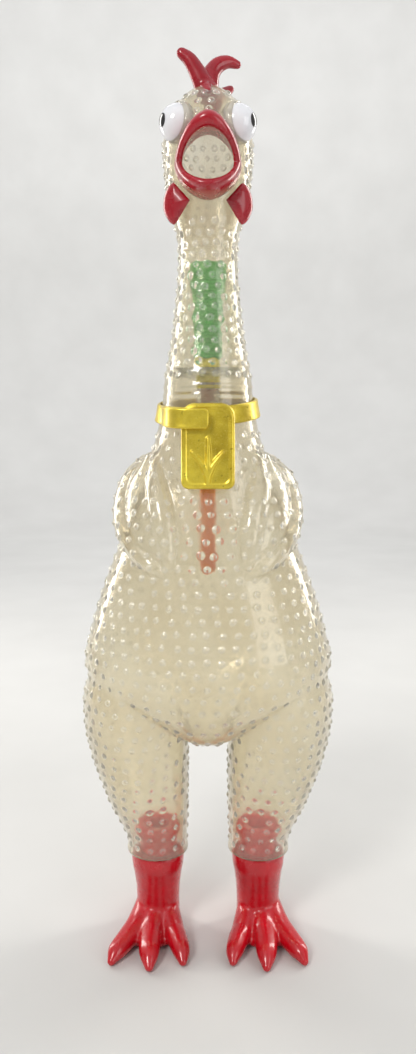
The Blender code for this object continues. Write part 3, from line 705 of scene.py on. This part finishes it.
# painted glow: the plug is the same red vinyl as the foot, made far brighter to stand in for light shining
# through the skin onto it
plug_red_painted_glow = red_vinyl("plug_red_painted_glow", (0.85, 0.0, 0.004), (1.0, 0.004, 0.012))
for side, name in SIDES:
    foot = fused("foot_" + name + "_vinyl", foot_form(), 0.9, 7)
    flatten_sole(foot, 0.4)
    low = points_of(foot.data)[:, 2].min()
    foot.data.transform(Matrix.Translation((0, 0, -low * MM)))
    plug = piece_of("foot_plug_" + name, mesh_of("foot_plug", *plug_form()))
    if side < 0:
        for part in (foot, plug):
            part.data.transform(Matrix.Scale(-1, 4, (1, 0, 0)))
            part.data.flip_normals()
    for part in (foot, plug):
        dressed(part, foot_red if part is foot else plug_red_painted_glow)
        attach(part, "leg_" + name)
    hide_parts("foot_" + name)

# ========================================
# The beak. A thick red lip moulded round the open mouth, painted red: its corners sit back on the
# cheeks and its two tips reach forward, with a rolled edge that runs down into the throat.
BEAK_TIP, BEAK_CORNER, BEAK_ROOT = 38.0, 24.5, 14.5      # reach forward of the tips, corners and base
BEAK_OUTSIDE = (16.3, 21.2, 16.2)       # half width, reach above and below the middle of the mouth
BEAK_OPENING = (13.2, 13.2, 11.2)       # the same for the edge of the opening
# the lip's section: share of the way in to the opening, share of the way forward, swell of the outside
LIP = [(0.0, 0.0, 1.10), (0.0, 0.45, 1.08), (0.0, 0.74, 1.055), (0.04, 0.9, 1.02), (0.22, 0.985, 1.0),
       (0.42, 1.01, 1.0), (0.62, 1.0, 1.0), (0.84, 0.965, 1.0), (0.97, 0.91, 1.0), (1.0, 0.84, 1.0),
       (0.95, 0.74, 1.0)]


def lozenge(sizes, turn, power):
    """A point on a soft lozenge with its own reach above and below."""
    out, up = math.cos(turn), math.sin(turn)
    rise = sizes[1] if up > 0 else sizes[2]
    return sizes[0] * math.copysign(abs(out) ** power, out), rise * math.copysign(abs(up) ** power, up)


def looped(rings):
    """Points and faces of a ring of sections, the last joined to the first."""
    points = np.concatenate([np.asarray(r, float) for r in rings])
    return points, woven(len(rings), len(rings[0]), closed=True)


def beak_form():
    """The lip as a ring of sections, from its base out over the front and in to the mouth's wall."""
    count = 128
    hole_x, hole_z = mouth_line(1.4, count)
    rings = []
    for k in range(count):
        turn = 2 * np.pi * k / count
        up = abs(math.sin(turn))
        x, z = lozenge(BEAK_OUTSIDE, turn, 1.14)
        inner_x, inner_z = lozenge(BEAK_OPENING, turn, 1.06)
        tip = BEAK_TIP if math.sin(turn) > 0 else BEAK_TIP - 1.5
        front = -BEAK_CORNER - (tip - BEAK_CORNER) * up ** 1.35
        ring = []
        for inward, forward, swell in LIP:
            ring.append(((1 - inward) * x * swell + inward * inner_x,
                         -BEAK_ROOT + (front + BEAK_ROOT) * forward,
                         MOUTH_Z + (1 - inward) * z * swell + inward * inner_z))
        ring.append((0.35 * inner_x + 0.65 * hole_x[k], -19.5, 0.35 * (MOUTH_Z + inner_z) + 0.65 * hole_z[k]))
        ring.append((hole_x[k], -BEAK_ROOT, hole_z[k]))
        rings.append(ring)
    return looped(rings)


def outward(piece):
    """Turns all faces of a closed piece outward."""
    shape = bmesh.new()
    shape.from_mesh(piece.data)
    bmesh.ops.recalc_face_normals(shape, faces=shape.faces)
    if shape.calc_volume(signed=True) < 0:
        bmesh.ops.reverse_faces(shape, faces=shape.faces)
    shape.to_mesh(piece.data)
    shape.free()


def rounded(piece, levels):
    """Subdivides a piece smooth and works the result in."""
    smooth = piece.modifiers.new("smooth", "SUBSURF")
    smooth.levels = smooth.render_levels = levels
    with_modifiers(piece)


beak = piece_of("beak_lip", mesh_of("beak_lip", *beak_form()))
outward(beak)
rounded(beak, 2)
head_red = red_vinyl("head_red", (0.26, 0.0, 0.008), (0.44, 0.001, 0.014))
dressed(beak, head_red)
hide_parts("beak")
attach(beak, "head")

# ========================================
# The comb. Three soft lobes on a low ridge, moulded with the head and painted red: the front lobe
# leans to the chicken's right, the next curls over to its left, and a small one stands behind.
COMB_RIDGE = [(0, -12, 480.5, 2.4), (-1, -7, 484.5, 3.6), (0, 1, 486.6, 4.2), (1.5, 9, 484.4, 3.8),
              (3, 15, 478, 2.4)]
COMB_LOBES = [[(-0.8, -4, 484, 6.2), (-3.4, -5, 489, 5.2), (-6.4, -5.6, 494.2, 4.4), (-9.8, -6, 499, 3.8),
               (-13.8, -6.2, 502, 3.0)],
              [(-0.2, 0.5, 484, 6.2), (0.6, 1, 491, 5.4), (2.3, 1.6, 496.2, 4.6), (5.8, 2.4, 500.1, 4.1),
               (10.8, 3.2, 501.8, 3.3), (15.8, 4, 500.8, 2.3)],
              [(4, 9, 482, 4), (8, 12.6, 489, 3.4), (12.4, 15, 492.8, 2.3)]]
comb_forms = [finger(COMB_RIDGE)] + [finger(lobe, flat=0.82, face=(0, 1, 0)) for lobe in COMB_LOBES]
comb = fused("comb_lobes", comb_forms, 0.5, 10)
dressed(comb, head_red)
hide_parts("comb")
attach(comb, "head")

# ========================================
# The wattles. Two red lozenges that hang below the corners of the beak, moulded with the jowls, with
# a sharp edge all round and a slightly domed face.
# x and z of the outline's corners, and of the curve on its outer side
WATTLE_CORNERS = [(18.0, 433.6), (9.4, 424.0), (16.6, 413.9)]       # top, towards the beak, and foot
WATTLE_BELLY = [(16.6, 413.9), (18.4, 412.9), (21.4, 415.6), (23.7, 421.0), (23.3, 427.0), (21.0, 431.6),
                (18.0, 433.6)]


def wattle_edge():
    """Two straight sides towards the beak and one full curve outside."""
    top, near, foot = (np.array(c) for c in WATTLE_CORNERS)
    straight = [top + (near - top) * t for t in np.linspace(0, 1, 13)[:-1]]
    straight += [near + (foot - near) * t for t in np.linspace(0, 1, 13)[:-1]]
    return np.array(straight + list(smooth_line(WATTLE_BELLY, 6)[:-1]))


WATTLE_DOME = [(0.05, 3.2), (0.35, 3.0), (0.62, 2.5), (0.83, 1.7), (0.95, 0.9), (1.0, 0.1), (0.97, -0.8),
               (0.6, -2.6), (0.05, -3.2)]      # share of the outline, and how proud it stands


def wattle_form():
    edge = wattle_edge()
    middle = edge.mean(0)
    rings = []
    for share, proud in WATTLE_DOME:
        spot = middle + (edge - middle) * share
        lean = -17.2 + 0.42 * (spot[:, 0] - middle[0]) - 0.12 * (spot[:, 1] - middle[1])
        rings.append(np.stack([spot[:, 0], lean - proud, spot[:, 1]], 1))
    return bridged(rings)


for side, name in SIDES:
    form = wattle_form() if side > 0 else mirror(wattle_form())
    wattle = piece_of("wattle_" + name + "_lozenge", mesh_of("wattle", *form))
    outward(wattle)
    dressed(wattle, head_red)
    wattle.data.set_sharp_from_angle(angle=math.radians(50))
    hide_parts("wattle_" + name)
    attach(wattle, "head")

# ========================================
# The eyes. Domes bulging from the sides of the head, painted glossy white, each with a tall black
# pupil that looks out to the side.
EYE_SIZE = (10.4, 9.6, 10.2)
PUPIL_AIM = (0.83, -0.55, 0.03)


def white_paint():
    """Glossy white paint, a shade cooler in patches."""
    material, links, principled, add = shader("eye_white", (0.86, 0.87, 0.90), 0.12, IOR=1.5,
                                              Coat_Weight=0.8, Coat_Roughness=0.03)
    uneven_colour(add, links, principled, noise(add, links, 70, 3), 0.35, 0.7,
                  (0.84, 0.85, 0.90), (0.90, 0.90, 0.92))
    bumped(add, links, principled, noise(add, links, 260, 2), 0.06, 0.0004)
    return material


def black_paint():
    """Glossy black paint."""
    material, links, principled, add = shader("pupil_black", (0.008, 0.008, 0.010), 0.1, IOR=1.5,
                                              Coat_Weight=1.0, Coat_Roughness=0.03)
    uneven_gloss(add, links, principled, noise(add, links, 300, 2), 0.08, 0.2)
    return material


def pupil_form():
    """A thin painted patch that lies on the dome of the eye."""
    aim = Vector(PUPIL_AIM).normalized()
    across = aim.cross(Vector((0, 0, 1))).normalized()
    up = across.cross(aim)
    rings = []
    for share in (1.0, 0.985, 0.9, 0.7, 0.45, 0.2, 0.02):
        ring = []
        for k in range(48):
            a = math.tau * k / 48
            out = aim + share * (0.30 * math.cos(a) * across + 0.36 * math.sin(a) * up)
            lift = 0.02 if share == 1.0 else 0.16 + 0.05 * (1 - share)
            out = Vector((out.x * EYE_SIZE[0], out.y * EYE_SIZE[1], out.z * EYE_SIZE[2])) / out.length
            ring.append(tuple(Vector(EYE) + out * (1 + lift / out.length)))
        rings.append(ring)
    return bridged(rings)


eye_white, pupil_black = white_paint(), black_paint()
for side, name in SIDES:
    for kind, form, paint, cad in (("eye", pebble(EYE, EYE_SIZE), eye_white, "eye_"),
                                   ("pupil", pupil_form(), pupil_black, "pupil_")):
        form = form if side > 0 else mirror(form)
        part = piece_of(f"{kind}_{name}_painted", mesh_of(kind, *form))
        outward(part)
        dressed(part, paint)
        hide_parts(cad + name)
        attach(part, "head")

# ========================================
# The collar. A flat band of gold-painted vinyl, moulded round the neck just below its glued seam and a
# little lower in front. Its free end comes round from the chicken's right and lies over the tag.
STRAP_RISE, STRAP_THICK = 10.2, 2.5
STRAP_HEIGHT, STRAP_SLOPE, STRAP_ROLL = 316.2, 0.15, 0.05      # middle, rise to the back, rise to the left
STRAP_ROUND, STRAP_LIFT = 27.0, 0.2      # reach over which it rises, and its inner face off the neck
# the band's section: share of its thickness out, and of half its width up
STRAP_SECTION = [(0.3, -1), (0.75, -1), (0.98, -0.9), (1.06, -0.74), (0.95, -0.6), (0.98, 0), (0.95, 0.6),
                 (1.06, 0.74), (0.98, 0.9), (0.75, 1), (0.3, 1), (0.15, 0.5), (0.15, -0.5)]
TRUNK_LINE = eased(TRUNK, 2.0)


def trunk_radii(z):
    """Half width of the neck at a height, and its reach forward and back."""
    return [np.interp(z, TRUNK_LINE[:, 0], TRUNK_LINE[:, k]) for k in (1, 2, 3)]


def strap_form():
    rings = []
    for k in range(120):
        a = math.tau * k / 120
        ring = []
        for out, up in STRAP_SECTION:
            slope, roll = STRAP_SLOPE * STRAP_ROUND * math.sin(a), STRAP_ROLL * STRAP_ROUND * math.cos(a)
            z = STRAP_HEIGHT + slope + roll + up * STRAP_RISE / 2
            width, front, back = trunk_radii(z)
            depth = back if math.sin(a) > 0 else front
            ring.append(((width + STRAP_LIFT + out * STRAP_THICK) * math.cos(a),
                         (depth + STRAP_LIFT + out * STRAP_THICK) * math.sin(a), z))
        rings.append(ring)
    return looped(rings)


def tongue_form():
    """The free end: a strip from the band round the tag's side that ends square over its face."""
    route = [(-24.2, -14.5, 313), (-24.3, -20, 312.6), (-23.2, -27, 312), (-20.8, -33, 311.4),
             (-17, -37.6, 311), (-12, -39.5, 310.8), (-6, -40, 310.8), (0.4, -40.2, 310.8)]
    section = [(-1, -0.9), (0.5, -1), (1, -0.88), (1.15, -0.76), (0.9, -0.62), (0.9, 0.62), (1.15, 0.76),
               (1, 0.88), (0.5, 1), (-1, 0.9)]
    line = smooth_line(route, 8)
    end = line[-1]
    rings = []
    for i, spot in enumerate(line):
        along = line[min(i + 1, len(line) - 1)] - line[max(i - 1, 0)]
        along /= np.linalg.norm(along)
        out = np.cross(along, (0, 0, 1))
        out *= np.sign(-out[1] - out[0] * 0.6) / np.linalg.norm(out)
        left = np.linalg.norm(end - spot)
        tall = 5.5 * min(1.0, 0.62 + 0.38 * math.sqrt(1 - (1 - min(left / 2.4, 1)) ** 2))
        thick = 1.15 if left > 0.6 else 0.7
        rings.append([spot + out * thick * a + np.array((0, 0, tall * b)) for a, b in section])
    return bridged(rings)


def gold_paint():
    """Gold paint on vinyl: fine bright flakes, patches of deeper and paler gold, and a painted highlight that
    lightens the sharp edges.
    """
    material, links, principled, add = shader("gold_paint", (0.62, 0.44, 0.04), 0.34, Metallic=0.65, IOR=1.5,
                                              Coat_Weight=0.25, Coat_Roughness=0.12)
    patches = graded(add, links, noise(add, links, 55, 4, 0.6), 0.32, 0.7, 0, 1)
    base = mixed(add, links, patches, (0.50, 0.35, 0.014), (0.86, 0.68, 0.06))
    flake = graded(add, links, noise(add, links, 2600, 2, 0.4), 0.56, 0.7, 0, 0.55)
    flaked_gold = mixed(add, links, flake, base, (0.95, 0.84, 0.18))
    # painted highlight: the sharp edges and bevels are made paler gold, standing in for light catching them
    edge = graded(add, links, add("NewGeometry").outputs["Pointiness"], 0.52, 0.60, 0, 0.5)
    links.new(mixed(add, links, edge, flaked_gold, (0.90, 0.76, 0.26)), principled.inputs["Base Color"])
    uneven_gloss(add, links, principled, noise(add, links, 320, 3), 0.26, 0.42)
    bumped(add, links, principled, noise(add, links, 700, 3, 0.6), 0.16, 0.0002)
    return material


gold = gold_paint()
strap = piece_of("collar_band", mesh_of("collar_band", *strap_form()))
tongue = piece_of("collar_tongue", mesh_of("collar_tongue", *tongue_form()))
for part in (strap, tongue):
    outward(part)
    rounded(part, 2)
    dressed(part, gold)
    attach(part, "torso")
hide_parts("collar_strap")

# ========================================
# The tag. A thick gold plate with round shoulders that hangs on the chest from the collar, moulded with
# a broad bevel, a raised border and a bird's footprint in relief.
TAG_BACK, TAG_PROUD, TAG_SLOPE = -32.05, 5.0, 0.11
TAG_PIVOT = 305.0
TAG_HALF, TAG_TOP, TAG_FOOT, TAG_SHOULDER, TAG_CORNER = 14.2, 319, 274, 7.2, 4
TAG_STEPS = [(1.0, 0.0), (0.0, 0.9), (0.0, 3.3), (0.5, 4.4), (1.6, 5.0), (2.5, 5.0), (3.1, 4.5), (6.0, 4.65),
             (11.5, 4.75)]      # inset of the outline, and how proud it stands
FOOTPRINT = [[(0, 281, 1.9), (-3.4, 287.6, 1.5), (-8.2, 293.4, 1.0)],
             [(0, 281, 1.9), (0.2, 290, 1.6), (0, 300.6, 1.0)],
             [(0, 281, 1.9), (3.4, 287.6, 1.5), (8.2, 293.4, 1.0)],
             [(0, 281, 1.9), (0, 277.6, 1.3)]]


def tag_outline(inset):
    """Round shoulders at the top and small round corners at the foot."""
    half, top, foot = TAG_HALF - inset, TAG_TOP - inset, TAG_FOOT + inset
    wide, tight = TAG_SHOULDER, TAG_CORNER
    corners = [(half - wide, top - wide, wide, 0), (-half + wide, top - wide, wide, 90),
               (-half + tight, foot + tight, tight, 180), (half - tight, foot + tight, tight, 270)]
    spots = []
    for centre_x, centre_z, radius, start in corners:
        for step in range(9):
            a = math.radians(start + step * 11.25)
            spots.append((centre_x + radius * math.cos(a), centre_z + radius * math.sin(a)))
    return spots


def tag_form():
    rings = []
    for inset, proud in TAG_STEPS:
        rings.append([(x, TAG_BACK - proud, z) for x, z in tag_outline(inset)])
    return bridged(rings)


def relief_forms():
    face = TAG_BACK - TAG_PROUD + 0.35
    return [finger([(x, face, z, r) for x, z, r in toe]) for toe in FOOTPRINT]


tag = fused("collar_tag_plate", [tag_form()] + relief_forms(), 0.34, 3)
for vertex in tag.data.vertices:
    vertex.co.y -= TAG_SLOPE * (TAG_PIVOT * MM - vertex.co.z)
dressed(tag, gold)
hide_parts("collar_tag")
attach(tag, "torso")

# ========================================
# The whistle. Inside the neck an orange air tube runs up into a clear sleeve, a yellow base and a ribbed
# green barrel that flares at the top. A clear web bonded in the neck holds it; a reed sounds inside.


def turned_loop(profile):
    """A ring-shaped form turned about the middle line from its radii and heights."""
    return looped([oval((0, 0), r, r, z, 72) for r, z in profile])


def ribs(low, high, radius, pitch, proud):
    """Outer profile of fine ribs; radius is a function of the height."""
    heights = np.arange(low, high, pitch / 6)
    return [(radius(z) + proud * max(0.0, math.sin(math.tau * (z - low) / pitch)) ** 0.7, z) for z in heights]


def barrel_radius(z):
    return np.interp(z, [344, 346, 366, 376, 384, 388], [7.5, 7.7, 8.1, 8.35, 9.6, 9.9])


def tube_profile():
    outer, bore, foot, top = 4.5, 3.2, 223.0, 328.0
    return [(bore, foot + 0.5), (bore + 0.4, foot), (outer - 0.4, foot), (outer, foot + 0.5), (outer, top),
            (bore, top)]


def sleeve_profile():
    return [(4.8, 318.5), (6.2, 318.5), (6.7, 319.2), (6.7, 328.4), (6.3, 329.1), (4.8, 329.1)]


def base_profile():
    outer = [(4.8, 329.4), (6.3, 329.4)] + ribs(330, 343, lambda z: 6.5, 3.2, 0.35)
    return outer + [(6.5, 343.6), (6.0, 343.7), (6.0, 349), (4.8, 349)]


def barrel_profile():
    outer = [(6.3, 344.0), (7.3, 344.0)] + ribs(344.6, 387.5, barrel_radius, 1.95, 0.38)
    return outer + [(10.1, 388.5), (10.2, 394.8), (9.8, 395.4), (9.0, 395.4), (8.6, 394.6), (8.4, 388),
                    (6.3, 380)]


def tinted_plastic(name, dark, light, clear=0.0):
    """Moulded plastic with faint flow marks and a soft gloss."""
    material, links, principled, add = shader(name, light, 0.3, IOR=1.47, Transmission_Weight=clear)
    flow = noise(add, links, 90, 4, 0.55, (1, 1, 0.35))
    uneven_colour(add, links, principled, flow, 0.32, 0.7, dark, light)
    uneven_gloss(add, links, principled, noise(add, links, 240, 3), 0.2, 0.38)
    bumped(add, links, principled, noise(add, links, 500, 2), 0.08, 0.0002)
    return material


def brass():
    """Thin rolled brass, with its grain along the strip."""
    material, links, principled, add = shader("reed_brass", (0.72, 0.50, 0.20), 0.28, Metallic=1.0)
    grain = noise(add, links, 300, 4, 0.6, (6, 1, 1))
    base = mixed(add, links, grain, (0.60, 0.40, 0.14), (0.82, 0.60, 0.27))
    links.new(base, principled.inputs["Base Color"])
    uneven_gloss(add, links, principled, noise(add, links, 500, 3, 0.5, (8, 1, 1)), 0.2, 0.4)
    return material


plastic = {"orange": tinted_plastic("tube_orange", (0.96, 0.19, 0.015), (1.0, 0.30, 0.04)),
           "yellow": tinted_plastic("base_yellow", (0.82, 0.74, 0.02), (0.95, 0.90, 0.06)),
           "green": tinted_plastic("barrel_green", (0.02, 0.46, 0.03), (0.06, 0.62, 0.07)),
           "clear": tinted_plastic("sleeve_clear", (0.86, 0.90, 0.86), (0.95, 0.97, 0.94), 0.85)}
for name, profile, colour, node in (("air_tube", tube_profile(), "orange", "intake_tube"),
                                    ("tube_sleeve", sleeve_profile(), "clear", "tube_coupling"),
                                    ("whistle_foot", base_profile(), "yellow", "whistle_base"),
                                    ("whistle_bell", barrel_profile(), "green", "whistle_barrel")):
    part = piece_of(name, mesh_of(name, *turned_loop(profile)))
    outward(part)
    dressed(part, plastic[colour])
    part.data.set_sharp_from_angle(angle=math.radians(55))
    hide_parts(node)
    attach(part, "neck")

WEB_EDGE = 21.0
web_profile = [(7.2, 335), (8.6, 334.8), (WEB_EDGE - 2, 335.6), (WEB_EDGE, 335.2), (WEB_EDGE, 338.2),
               (WEB_EDGE - 2, 337.6), (8.6, 338.4), (7.2, 338.2)]
web = piece_of("neck_web", mesh_of("neck_web", *turned_loop(web_profile)))
outward(web)
dressed(web, plastic["clear"])
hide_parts("bulkhead_web")
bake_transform(web)

for node, finish in (("reed_seat", plastic["clear"]), ("reed", brass()), ("reed_wedge", plastic["yellow"])):
    for held in bpy.data.objects[node].material_slots:
        held.material = finish

# ========================================
# The studio. A pale floor that sweeps up into a pale wall all round, soft lamps in front, narrow ones
# behind, one on the back wall, and the camera.


def sweep_form():
    flat, bend, wall, sides = 1700, 900, 2600, 96
    profile = [(0.001, 0)] + [(2000 * t, 0) for t in (0.1, 0.3, 0.6, 0.85)]
    for a in np.linspace(0.1, math.pi / 2, 16):
        profile.append((flat + bend * math.sin(a), bend - bend * math.cos(a)))
    profile += [(wall, 1500), (wall, 2600)]
    rings = [oval((0, 0), r, r, z, sides) for r, z in profile]
    return np.concatenate(rings), woven(len(rings), sides)


def paper():
    """Matt pale paper, slightly uneven."""
    material, links, principled, add = shader("studio_paper", (0.62, 0.615, 0.60), 0.75)
    uneven_colour(add, links, principled, noise(add, links, 7, 3), 0.3, 0.7,
                  (0.60, 0.595, 0.58), (0.64, 0.635, 0.62))
    return material


sweep = piece_of("studio_sweep", mesh_of("studio_sweep", *sweep_form()))
dressed(sweep, paper())


def lamp(name, place, target, size, power, colour=(1, 1, 1)):
    data = bpy.data.lights.new(name, "AREA")
    data.shape = "RECTANGLE"
    data.size, data.size_y = size
    data.energy, data.color = power, colour
    light = piece_of(name, data)
    light.location = place
    light.rotation_euler = (Vector(target) - Vector(place)).to_track_quat("-Z", "Y").to_euler()


lamp("key", (-0.62, -0.95, 1.05), (0, 0, 0.28), (0.34, 0.34), 8, (1, 0.98, 0.95))
lamp("fill", (0.95, -0.85, 0.55), (0, 0, 0.25), (0.6, 0.9), 3.4)
lamp("left_strip", (-0.75, 0.45, 0.55), (0, 0, 0.24), (0.14, 0.9), 4.2, (1, 0.97, 0.92))
lamp("right_strip", (0.75, 0.40, 0.60), (0, 0, 0.26), (0.14, 0.9), 4.2, (1, 0.97, 0.92))
lamp("wall", (0, 0.9, 1.9), (0, 2.5, 0.75), (1.6, 0.5), 26)

world = bpy.data.worlds.new("studio_air")
world.use_nodes = True
air = world.node_tree.nodes["Background"]
air.inputs["Color"].default_value = (0.95, 0.97, 1.0, 1)
air.inputs["Strength"].default_value = 0.7
bpy.context.scene.world = world
bpy.context.scene.view_settings.view_transform = "Standard"

camera_data = bpy.data.cameras.new("camera")
camera_data.lens, camera_data.sensor_width = 26, 36
camera = piece_of("camera", camera_data)
camera.location = (0, -0.438, 0.308)
camera.rotation_euler = (math.radians(90 - 7.7), 0, 0)
bpy.context.scene.camera = camera
